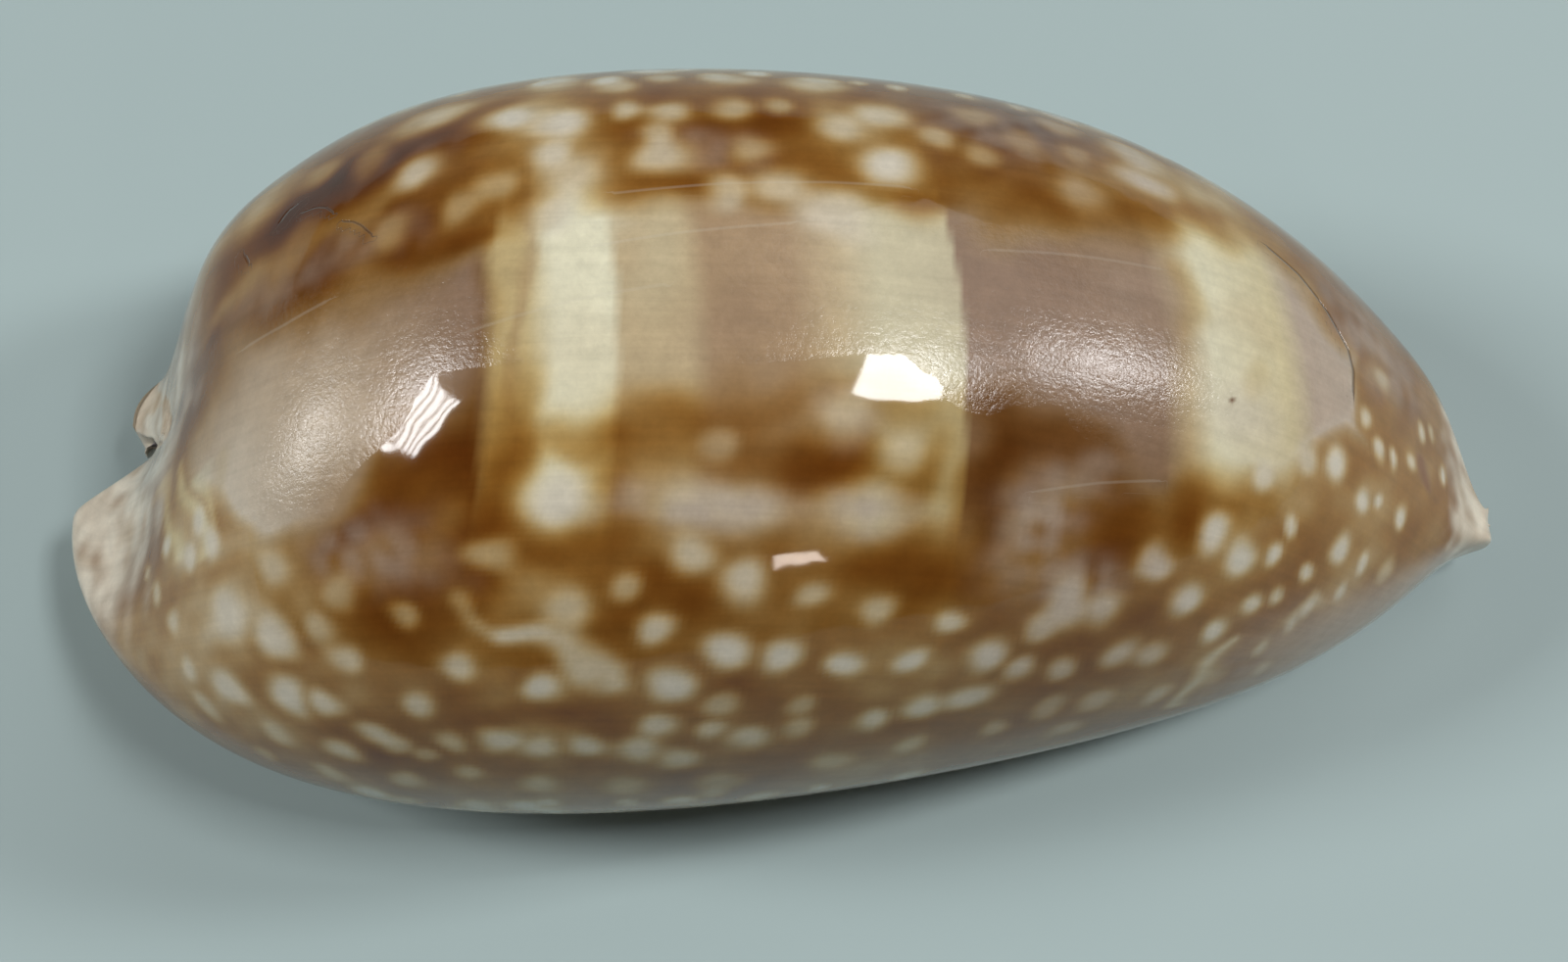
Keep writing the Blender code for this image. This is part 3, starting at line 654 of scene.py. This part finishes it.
# Pale spots: station, girth, radius, strength and, unless 1, their length along the shell over that round it
SPOTS = (
    (-13.8, -12.7, 1.35, 0.95, 1.2), (-17.2, -15.3, 0.9, 0.6, 1.6), (-6.2, -15.4, 1.1, 0.8, 1.2),
    (-3.2, -16.4, 1.2, 0.85), (0.6, -17.1, 0.8, 0.55, 1.2), (-9.5, -17, 0.8, 0.55),
    (-12.5, -18.3, 1.2, 0.5), (-7.7, -19.4, 1, 0.85), (-3.5, -20.8, 1.15, 1), (-0.7, -20.9, 1.05, 0.95),
    (2.8, -21.4, 1, 1), (6.4, -21, 0.95, 0.95), (4.3, -17.8, 0.9, 0.65), (-17.9, -21.7, 0.9, 0.75, 1.1),
    (-13.3, -23.2, 1, 0.95), (-6.2, -23.1, 1.2, 1), (-3.5, -24.7, 0.9, 0.6), (0.7, -24.7, 0.8, 0.5),
    (4.8, -25.7, 1, 0.85, 0.8), (-6.8, -26.2, 1.1, 0.85), (-3.8, -26.6, 0.8, 0.7), (0.8, -26.7, 0.9, 0.5),
    (-1.6, -27.3, 1.1, 0.8), (-18, -27.4, 0.8, 0.6, 1.1), (-15.3, -27.3, 1, 0.85, 1.1),
    (-13.1, -28.2, 1, 0.8, 1.1), (-10.4, -28.3, 0.9, 0.85, 1.1), (-7.5, -28.2, 1.2, 0.8),
    (-5.3, -29.4, 1.1, 0.75), (-17, -30.8, 0.8, 0.5), (-13.2, -32.3, 1.1, 0.6), (-8.2, -33, 1.2, 0.4),
    (-3.2, -32.8, 1.2, 0.5, 1.2), (2.7, -30.7, 1.1, 0.5), (-19.3, -28.8, 0.7, 0.5),
    (-19.8, -24.3, 0.9, 0.8), (8.4, -18.4, 0.8, 0.8), (10.6, -20.3, 1.1, 0.95), (12.7, -21.2, 0.95, 0.85),
    (15, -21.3, 0.9, 0.8), (18.2, -19.5, 1.1, 0.85, 1.1), (20, -19.2, 1, 0.75), (16.9, -16.2, 1.2, 0.85),
    (14.8, -15.5, 1, 0.8), (14.7, -16.8, 1.2, 0.85, 1.1), (13.3, -18.2, 0.9, 0.7),
    (19.2, -13, 0.9, 0.8, 1.1), (19.9, -13.5, 0.8, 0.8), (22.7, -10.5, 1.2, 1, 0.8),
    (21.7, -15, 1.1, 1, 0.85), (24.5, -11.8, 1, 1, 0.9), (26.5, -10.7, 0.8, 1, 0.7),
    (27.5, -8.8, 0.7, 0.9, 0.6), (23.5, -16.8, 0.9, 0.95, 0.75), (25.7, -14.2, 0.8, 0.9, 0.8),
    (27.3, -13.4, 0.65, 0.8, 0.8), (28.8, -11.1, 0.7, 0.9, 0.7), (29.5, -13.5, 0.7, 0.8, 0.6),
    (28.5, -15, 0.6, 0.7, 0.6), (26.8, -17.6, 0.8, 0.7, 0.7), (27.4, -20, 0.8, 0.55, 0.7),
    (30.9, -8.9, 0.85, 0.95, 0.75), (32.7, -9, 0.65, 0.85, 0.65), (34.5, -8.9, 0.8, 0.5, 0.7),
    (31.4, -11.6, 0.7, 0.85, 0.6), (30.2, -4.3, 1, 1, 0.75), (33.4, -1.9, 0.65, 0.9, 0.7),
    (34.6, -1.9, 0.6, 0.9, 0.7), (36, -1.2, 0.6, 0.75, 0.7), (32.4, -0.7, 0.6, 0.8, 0.75),
    (35.2, -5, 0.7, 0.95, 0.65), (33.5, -5, 0.5, 0.85, 0.8), (32.1, -5.6, 0.75, 0.95, 0.75),
    (34.1, 2.7, 0.8, 0.55, 0.8), (37.1, 1.3, 0.55, 0.85, 0.6), (38.7, -0.2, 0.65, 1, 0.5),
    (38, 2, 0.5, 0.6, 0.6), (25.4, -6.7, 0.8, 0.8), (28.2, -5, 0.8, 0.7), (7.6, -24.8, 1.1, 0.9, 1.2),
    (10, -23.9, 1, 0.85, 1.3), (14.7, -24.9, 1, 0.55), (17.5, -24, 1, 0.6), (21.2, -23.4, 1, 0.6, 0.8),
    (16, -27.7, 1, 0.55), (11.7, -26.9, 0.8, 0.5), (7, -28.8, 0.9, 0.5), (-31.5, -17.1, 1.6, 0.9, 1.1),
    (-28.8, -19, 1.3, 0.9, 1.2), (-29.6, -14.7, 1, 0.5), (-26.2, -18.6, 0.9, 0.6, 1.1),
    (-25.2, -16.9, 1, 0.45), (-21.3, -18.3, 0.8, 0.5), (-24, -21, 0.9, 0.75, 1.2),
    (-27.2, -23.4, 1.2, 0.95, 1.2), (-25.2, -24.1, 0.9, 0.85, 1.1), (-30.8, -22.6, 1, 0.8, 1.2),
    (-22.1, -26.5, 0.9, 0.8, 1.1), (-20.9, -27.7, 0.9, 0.7), (-27.9, -27, 0.9, 0.55),
    (-24, -28.4, 1, 0.8, 1.1), (-28.6, -29.4, 0.8, 0.4), (-25, -31.3, 0.9, 0.55, 1.1),
    (-20.4, -31.8, 0.9, 0.6, 1.1), (-37.2, -11.1, 0.7, 0.9, 0.8), (-35.1, -10.6, 0.8, 0.85, 0.8),
    (-33.6, -12.1, 0.9, 0.9, 0.9), (-35.1, -12.6, 0.7, 0.8, 0.8), (-35.3, -16.9, 0.8, 0.7, 0.8),
    (-33.4, -20.7, 0.8, 0.65), (-32.2, -24.1, 0.8, 0.5), (-37, -14.4, 0.6, 0.7, 0.7),
    (-38.4, -12.4, 0.6, 0.6, 0.7), (-17.8, 10.8, 1.4, 1, 1.2), (-14.9, 9.8, 1.3, 0.95, 1.1),
    (-15.4, 7.3, 1.1, 0.8), (-14.3, 5.6, 1.4, 0.6, 1.3), (-15.4, 3, 1.2, 0.7, 1.1), (-18.5, 5, 1.2, 0.45),
    (-23.5, 7, 1.2, 0.85, 1.2), (-23.3, 11.7, 1.5, 0.5, 1.2), (-21.5, 12.7, 1.2, 0.45, 1.2),
    (-26.3, 9, 1.2, 0.3), (-29.3, 9.5, 1.2, 0.35, 1.2), (-21, 4, 1.1, 0.4), (-25, 3.2, 1, 0.3, 1.2),
    (-11.3, 10.9, 1, 0.75), (-8.8, 10.7, 1.1, 0.75, 1.1), (-9.5, 8.5, 1, 0.6, 0.9),
    (-9.5, 6.8, 1.3, 0.75, 1.2), (-11.6, 14, 1, 0.6), (-15.5, 15.5, 1.4, 0.6), (-5.1, 10.9, 1.1, 0.6),
    (-2.3, 11.7, 0.8, 0.5), (-5, 15.5, 1.3, 0.55), (-0.1, 15, 1.4, 0.7, 1.1), (3, 11.5, 1.3, 0.7, 1.1),
    (0.8, 9.8, 1.2, 0.6, 1.2), (3.5, 7.2, 1.2, 1, 1.4), (6.3, 10, 1, 0.5), (-5.3, 4.5, 1.1, 0.7, 1.1),
    (-2.8, 4.8, 1.2, 0.7, 1.2), (0.5, 3.5, 1.3, 0.6, 1.4), (-4.3, 7.5, 1, 0.4, 1.2), (9, 8.8, 1, 0.35),
    (8.8, 13, 1.1, 0.4), (11.5, 11.2, 1.2, 0.4), (14, 14, 1.1, 0.55), (14.5, 10.8, 1, 0.35),
    (14.8, 7.2, 1.2, 0.35, 1.2), (18, 9.8, 1.2, 0.65, 1.1), (19.3, 9.6, 1.2, 0.75, 1.1),
    (18.5, 13, 1.5, 0.75, 1.2), (-6.5, -12.5, 1.3, 0.4, 1.4), (-3.5, -12.5, 1.3, 0.4, 1.4),
    (-5.5, -9.5, 0.9, 0.3), (1.2, -7.3, 1.1, 0.3, 1.1), (3, -12.2, 1.3, 0.35, 1.5), (4.4, -9.4, 1.2, 0.35))

surface = Surface()
rng = np.random.default_rng(SEED)


def ripples(height, wave, count=20):
    """Smooth noise over the outside, up and down by about height, in waves of about that length."""
    ways = rng.normal(size=(3, count))
    ways *= 2 * pi / wave * rng.uniform(*WAVE_RANGE, count) / np.linalg.norm(ways, axis=0)
    return height * (np.sin(surface.outer @ ways + rng.uniform(0, 2 * pi, count)).sum(-1) / np.sqrt(count))


# The outside points, their station and their girth, moved a little so that outlines drawn on them wander
wandering = surface.outer + np.stack([ripples(*SPOT_WANDER) for _ in range(3)], -1)
station = surface.station + ripples(*WANDER)
girth = surface.girth + ripples(*WANDER)


def mix(a, b, amount):
    amount = np.asarray(amount)[..., None]
    return a + (np.asarray(b) - a) * amount


def border(places):
    """Girth of a border at every station."""
    at = np.asarray(places, float)
    return np.interp(surface.station, at[:, 0], at[:, 1])


def thin(left, row, column, radius, strength, stretch=1):
    """Thin the pigment round a point of the outside, where left is the share that stays."""
    reach = SPOT_REACH * radius * max(1, stretch)
    centre = surface.station[row, 0]
    near = slice(*np.searchsorted(surface.station[:, 0], (centre - reach, centre + reach)))
    gap = wandering[near] - wandering[row, column]
    q = ((gap[..., 0] / stretch) ** 2 + gap[..., 1] ** 2 + gap[..., 2] ** 2) / radius ** 2
    taken = min(1, SPOT_SHARE + SPOT_GAIN * strength)
    left[near] *= 1 - taken * np.exp(-SPOT_SOFTNESS * q ** SPOT_POWER)


def spots():
    """Share of the pigment that the pale spots leave."""
    left = np.ones_like(surface.station)
    for st, g, *look in SPOTS:
        thin(left, *surface.find(st, g), *look)
    for start, end in (FAR_ROWS, NEAR_ROWS):
        for k, g in enumerate(np.arange(start, end, ROW_SPACING)):
            for st in np.arange(ROW_ENDS[0] + SPOT_SPACING / 2 * (k % 2), ROW_ENDS[1], SPOT_SPACING):
                at = rng.normal((st, g), SPOT_STRAY)
                row, column = surface.find(*at)
                look = [rng.uniform(*limits) for limits in SCATTERED_LOOK]
                found = abs(surface.girth[row, column] - at[1]) < FOUND_WITHIN
                if found and abs(surface.around[row, column]) < SCATTERED_AROUND:
                    thin(left, row, column, *look)
    return left


def patch(st, g, length, width, lean):
    """A soft oval patch, 1 at its middle."""
    along_it, across = station - st, girth - g
    c, s = cos(radians(lean)), sin(radians(lean))
    u, v = (along_it * c + across * s) / length, (across * c - along_it * s) / width
    return np.exp(-PATCH_SOFTNESS * (u * u + v * v) ** PATCH_POWER)


def away_from(places, here):
    """Distance from a run of (station, girth), minus on its right side."""
    best = np.full(surface.station.shape, np.inf)
    for a, b in zip(np.array(places[:-1], float), np.array(places[1:], float)):
        step = b - a
        gap = here - a
        gap = gap - np.clip(gap @ step / (step @ step), 0, 1)[..., None] * step
        distance = np.linalg.norm(gap, axis=-1)
        side = np.where(gap[..., 1] * step[0] > gap[..., 0] * step[1], 1, -1)
        best = np.where(distance < np.abs(best), side * distance, best)
    return best


def fine_lines(marks):
    """For thin lines: signed distance over half width, up to LINE_LIMIT, and how strong the line is here."""
    here = np.stack([surface.station, surface.girth], -1)
    across, amount = np.full(surface.station.shape, LINE_LIMIT), np.zeros_like(surface.station)
    for half, strength, places in marks:
        distance = away_from(places, here)
        nearer = np.abs(distance) / half < np.abs(across)
        across = np.where(nearer, distance / half, across)
        amount = np.where(nearer, strength * (1 - smooth(np.abs(distance), *LINE_STEP)), amount)
    return across, amount


def band_colours():
    """Colour of the bands at every outside point."""
    leaning = surface.station + ripples(*BAND_WANDER) - np.interp(surface.girth, *zip(*BAND_LEAN))
    at, colours = zip(*BANDS)
    return np.stack([np.interp(leaning, at, [colour[k] for colour in colours]) for k in range(3)], -1)


def teeth():
    """Dark crests of the teeth on both lips, running a little way on to the base."""
    crest = 1 - groove(surface.t, 0)[:, None]
    crest = np.where(np.abs(surface.station) < TOOTH_END, crest, 0)
    return crest ** 2 * smooth(np.abs(surface.around), *TOOTH_STEP)


def coat():
    """Colour of every outside point: bands, then pigment with its spots, then veils, margins and ends."""
    st, g, around = surface.station, surface.girth, np.abs(surface.around)
    low, high = border(COAT_LOW), border(COAT_HIGH)
    covered = np.maximum(1 - smooth(girth, low + LOW_STEP[0], low + LOW_STEP[1]),
                         smooth(girth, high + HIGH_STEP[0], high + HIGH_STEP[1]))
    tips = np.maximum(smooth(station, *COAT_ANTERIOR), 1 - smooth(station, *COAT_POSTERIOR))
    covered = np.maximum(covered, tips)
    colour = mix(band_colours(), PALE, PALE_UNDER_COAT * covered)
    pigment = PIGMENT_LAYERS * covered * (1 + ripples(*BROAD_UNEVEN) + ripples(*FINE_UNEVEN))
    for *oval, layers in PIGMENT_PATCHES:
        pigment += patch(*oval) * layers
    for what, *oval, amount in COLOUR_PATCHES:
        colour = mix(colour, what, patch(*oval) * amount)
    veil = np.zeros_like(st)
    for *oval, amount in VEIL_PATCHES:
        veil = np.maximum(veil, patch(*oval) * amount)
    left = spots()
    here = np.stack([station, girth], -1)
    for what, half, amount, places in STREAKS:
        streak = amount * (1 - smooth(np.abs(away_from(places, here)) / half, *STREAK_STEP))
        if what == "spot":
            left *= 1 - streak
        else:
            colour = mix(colour, what, streak)
            pigment *= 1 - STREAK_BARE * streak
    pink = smooth(station, *PINK_START) * (1 - smooth(station, *PINK_END))
    colour = mix(colour, mix(np.array(PALE), SPOT_PINK, PINK_SHARE * pink), SPOT_PALE * (1 - left))
    colour = colour * PIGMENT ** (np.maximum(pigment, 0) * left)[..., None] + PIGMENT_FLOOR
    colour = mix(colour, VEIL, veil * (VEIL_SHARE + ripples(*VEIL_UNEVEN)).clip(0, 1))
    colour = mix(colour, MARGIN_MAUVE, MARGIN_SHARE * smooth(around, *MARGIN_STEP) * left)
    front = smooth(st, *FRONT_STATIONS) * smooth(around, *FRONT_AROUND) * (g < 0)
    colour = mix(colour, BEIGE_MAUVE, FRONT_SHARE * front)
    colour = mix(colour, BASE_FLESH, smooth(around, *BASE_STEP))
    ends = np.maximum(1 - smooth(st + ripples(*POSTERIOR_WANDER), *POSTERIOR_STEP),
                      smooth(st + ripples(*ANTERIOR_WANDER), *ANTERIOR_STEP))
    colour = mix(colour, END_CREAM, ends * (END_SHARE + ripples(*END_UNEVEN)).clip(0, 1))
    return mix(colour, TOOTH_BROWN, TOOTH_SHARE * teeth())


def fields():
    """Numbers for the finish: how far inside the worn back a point is, and the thin dark and pale lines."""
    low, high = surface.girth - border(GLAZE_LOW), border(GLAZE_HIGH) - surface.girth
    ends = np.minimum(surface.station - GLAZE_ENDS[0], GLAZE_ENDS[1] - surface.station)
    worn = np.minimum(np.minimum(low, FAR_EDGE_SHARE * high), ends)
    scar, scar_on = fine_lines(SCARS)
    scratch, scratch_on = fine_lines(SCRATCHES)
    return {"worn": worn.clip(-WORN_LIMIT, WORN_LIMIT), "scar": scar, "scar_on": scar_on,
            "scratch": scratch, "scratch_on": scratch_on}


def add_field(mesh, name, values, inside):
    """Put numbers or colours on the vertices of the mesh, under a name that the material reads."""
    flat = surface.spread(values, inside)
    kind, key = ("FLOAT", "value") if flat.ndim == 1 else ("FLOAT_COLOR", "color")
    if flat.ndim > 1:
        flat = np.c_[flat, np.ones(len(flat))]
    mesh.attributes.new(name, kind, "POINT").data.foreach_set(key, flat.astype(np.float32).ravel())


def add_object(name, data):
    thing = bpy.data.objects.new(name, data)
    bpy.context.scene.collection.objects.link(thing)
    return thing


class Tree:
    """Short forms for the nodes of a material."""

    def __init__(self, material):
        material.use_nodes = True
        self.nodes, self.links = material.node_tree.nodes, material.node_tree.links
        self.shader = self.nodes["Principled BSDF"]

    def put(self, socket, value):
        """Give a socket the output of another node, a colour or a number."""
        if isinstance(value, bpy.types.NodeSocket):
            self.links.new(value, socket)
        elif isinstance(value, tuple):
            socket.default_value = (*value, 1)
        else:
            socket.default_value = value

    def attribute(self, name, output="Fac"):
        node = self.nodes.new("ShaderNodeAttribute")
        node.attribute_name = name
        return node.outputs[output]

    def noise(self, name, scale, detail, roughness):
        """Noise over the places in an attribute, with scale waves to a millimetre along each axis."""
        stretch = self.nodes.new("ShaderNodeVectorMath")
        stretch.operation = "MULTIPLY"
        self.links.new(self.attribute(name, "Vector"), stretch.inputs[0])
        stretch.inputs[1].default_value = scale
        node = self.nodes.new("ShaderNodeTexNoise")
        self.links.new(stretch.outputs[0], node.inputs["Vector"])
        for socket, number in (("Scale", 1), ("Detail", detail), ("Roughness", roughness)):
            node.inputs[socket].default_value = number
        return node.outputs["Fac"]

    def math(self, operation, a, b=0.0, c=0.0):
        node = self.nodes.new("ShaderNodeMath")
        node.operation = operation
        for socket, value in zip(node.inputs, (a, b, c)):
            self.put(socket, value)
        return node.outputs[0]

    def step(self, value, low, high):
        """A smooth step from 0 to 1 as the value goes from low to high."""
        node = self.nodes.new("ShaderNodeMapRange")
        node.interpolation_type = "SMOOTHSTEP"
        for name, number in (("Value", value), ("From Min", low), ("From Max", high)):
            self.put(node.inputs[name], number)
        return node.outputs[0]

    def grey(self, value):
        node = self.nodes.new("ShaderNodeCombineColor")
        for socket in node.inputs:
            self.put(socket, value)
        return node.outputs[0]

    def mix(self, amount, a, b, blend="MIX"):
        node = self.nodes.new("ShaderNodeMix")
        node.data_type = "RGBA"
        node.blend_type = blend
        for place, value in ((0, amount), (6, a), (7, b)):
            self.put(node.inputs[place], value)
        return node.outputs[2]

    def bump(self, height, distance):
        node = self.nodes.new("ShaderNodeBump")
        self.links.new(height, node.inputs["Height"])
        node.inputs["Distance"].default_value = distance
        node.inputs["Strength"].default_value = 1
        return node.outputs[0]

    def drawn(self, name, edge):
        """How strongly the thin lines of one kind show."""
        off = self.step(self.math("ABSOLUTE", self.attribute(name)), *edge)
        return self.math("MULTIPLY", self.math("SUBTRACT", 1.0, off), self.attribute(name + "_on"))


def shell_material():
    """The coat with mottling and growth lines, glossy under its glaze and duller where the back is worn."""
    material = bpy.data.materials.new("glazed shell")
    t = Tree(material)
    mottle, grit, swell = (t.noise("spot", *grain) for grain in (MOTTLE, GRIT, SWELL))
    growth, hair = (t.noise("map", *grain) for grain in (GROWTH, HAIR))
    worn = t.step(t.math("ADD", t.attribute("worn"), t.math("MULTIPLY_ADD", mottle, *RAGGED)), *WORN_STEP)
    scratch, scar = t.drawn("scratch", SCRATCH_STEP), t.drawn("scar", SCAR_STEP)

    tone = t.math("MULTIPLY_ADD", mottle, *MOTTLE_TONE)
    for grain, tones in ((grit, GRIT_TONE), (growth, GROWTH_TONE)):
        tone = t.math("MULTIPLY", tone, t.math("MULTIPLY_ADD", grain, *tones))
    colour = t.mix(1.0, t.attribute("coat", "Color"), t.grey(tone), "MULTIPLY")
    for amount, paint in ((scratch, PALE), (scar, SCAR_DARK), (t.attribute("inside"), INSIDE_MAUVE)):
        colour = t.mix(amount, colour, paint)
    t.links.new(colour, t.shader.inputs["Base Color"])
    t.shader.inputs["Specular IOR Level"].default_value = SPECULAR_LEVEL

    rough = t.math("MULTIPLY_ADD", worn, WORN_ROUGHNESS - GLAZE_ROUGHNESS, GLAZE_ROUGHNESS)
    uneven = t.math("MULTIPLY", t.math("SUBTRACT", grit, NOISE_MEAN), worn)
    t.links.new(t.math("MULTIPLY_ADD", uneven, GRIT_ROUGHNESS, rough), t.shader.inputs["Roughness"])

    height = t.math("ADD", t.math("MULTIPLY", grit, GRIT_RELIEF), t.math("MULTIPLY", hair, HAIR_RELIEF))
    height = t.math("MULTIPLY", height, t.math("MULTIPLY_ADD", worn, 1 - GLAZED_SHARE, GLAZED_SHARE))
    for form, weight in ((swell, SWELL_RELIEF), (worn, WORN_RELIEF), (scar, SCAR_RELIEF)):
        height = t.math("ADD", height, t.math("MULTIPLY", form, weight))
    t.links.new(t.bump(height, RELIEF_M), t.shader.inputs["Normal"])
    return material


mesh = bpy.data.meshes.new("shell_surface")
mesh.from_pydata((surface.points * MM).tolist(), [], surface.faces)
mesh.update()
mesh.shade_smooth()
add_field(mesh, "coat", coat().clip(0, 1), CHAMBER_GREY)
for name, values in fields().items():
    add_field(mesh, name, values, 0)
add_field(mesh, "inside", np.zeros_like(surface.station), 1)
add_field(mesh, "map", np.stack([surface.station, surface.girth, 0 * surface.girth], -1), (0, 0, 0))
add_field(mesh, "spot", surface.outer, (0, 0, 0))
mesh.materials.append(shell_material())
shell = add_object("shell_surface", mesh)
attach(shell, "root")
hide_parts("shell")

# The camera: what it looks at, where it stands and how far it is turned about its own axis
AIM = (0.03, -1.36, 11.6)
CAMERA_AZIMUTH = 1.175
CAMERA_ELEVATION = 68.71
CAMERA_ROLL = -0.82
CAMERA_DISTANCE = 172.4
SENSOR = 36
FOCAL_LENGTH = 68.23
NEAREST_SEEN_M = 0.005

# The floor and the faint light from all round
FLOOR_HALF_M = 1.5
FLOOR_COLOUR = (0.358, 0.450, 0.450, 1)
FLOOR_ROUGHNESS = 0.6
WORLD_STRENGTH = 0.02

# Lights: name, azimuth, elevation, width and height in metres, power in watts, and colour unless white
LIGHTS = (
    ("low left window", 263, 17, (0.2, 0.32), 2.9), ("overhead", 84, 65, (0.36, 0.28), 8.5),
    ("right window", 100, 38, (0.19, 0.44), 8), ("small lamp", 16, 27, (0.12, 0.09), 0.6, (1, 0.88, 0.8)),
    ("back of the room", 135, 50, (0.9, 0.9), 3))
LIGHT_DISTANCE_M = 1.5
# The window behind slats: its turn in degrees, and how much of it the light between the slats is
LEFT_WINDOW = ("left window", 270, 43, (0.40, 0.34), 9.8)
SLATS = 6
WINDOW_ROLL = -45
OPEN_SHARE = 0.72


def direction(azimuth, elevation):
    """Unit vector to a place at that azimuth, counted from -Y towards +X, and height above the horizon."""
    a, e = radians(azimuth), radians(elevation)
    return Vector((sin(a) * cos(e), -cos(a) * cos(e), sin(e)))


def add_camera():
    data = bpy.data.cameras.new("camera")
    data.lens = FOCAL_LENGTH
    data.sensor_width = SENSOR
    data.clip_start = NEAREST_SEEN_M
    camera = add_object("camera", data)
    back = direction(CAMERA_AZIMUTH, CAMERA_ELEVATION)
    roll = Matrix.Rotation(radians(CAMERA_ROLL), 4, "Z")
    turned = (-back).to_track_quat("-Z", "Y").to_matrix().to_4x4() @ roll
    camera.matrix_world = Matrix.Translation((Vector(AIM) + back * CAMERA_DISTANCE) * MM) @ turned
    bpy.context.scene.camera = camera


def add_floor():
    corners = [(x * FLOOR_HALF_M, y * FLOOR_HALF_M, 0) for x, y in ((-1, -1), (1, -1), (1, 1), (-1, 1))]
    floor_mesh = bpy.data.meshes.new("floor")
    floor_mesh.from_pydata(corners, [], [(0, 1, 2, 3)])
    floor = add_object("floor", floor_mesh)
    material = bpy.data.materials.new("floor")
    shader = Tree(material).shader
    shader.inputs["Base Color"].default_value = FLOOR_COLOUR
    shader.inputs["Roughness"].default_value = FLOOR_ROUGHNESS
    floor_mesh.materials.append(material)


def add_light(name, azimuth, elevation, size, power, colour=(1, 1, 1), roll=0, shift=0):
    """A rectangle of light that faces the shell, turned about its own axis and shifted along its height."""
    data = bpy.data.lights.new(name, "AREA")
    data.shape = "RECTANGLE"
    data.size, data.size_y = size
    data.energy = power
    data.color = colour
    lamp = add_object(name, data)
    away = direction(azimuth, elevation)
    turned = away.to_track_quat("Z", "Y") @ Quaternion((0, 0, 1), radians(roll))
    lamp.location = away * LIGHT_DISTANCE_M + turned @ Vector((0, shift, 0))
    lamp.rotation_mode = "QUATERNION"
    lamp.rotation_quaternion = turned


def add_window(name, azimuth, elevation, size, power):
    """A window behind slats: a stack of strips of light."""
    pitch = size[1] / SLATS
    for k in range(SLATS):
        add_light(f"{name} {k}", azimuth, elevation, (size[0], OPEN_SHARE * pitch), power / SLATS,
                  roll=WINDOW_ROLL, shift=(k - (SLATS - 1) / 2) * pitch)


def add_world():
    world = bpy.data.worlds.new("studio")
    world.use_nodes = True
    background = world.node_tree.nodes["Background"]
    background.inputs["Color"].default_value = (1, 1, 1, 1)
    background.inputs["Strength"].default_value = WORLD_STRENGTH
    bpy.context.scene.world = world


add_camera()
add_floor()
add_world()
add_window(*LEFT_WINDOW)
for light in LIGHTS:
    add_light(*light)
bpy.context.scene.view_settings.view_transform = "Standard"
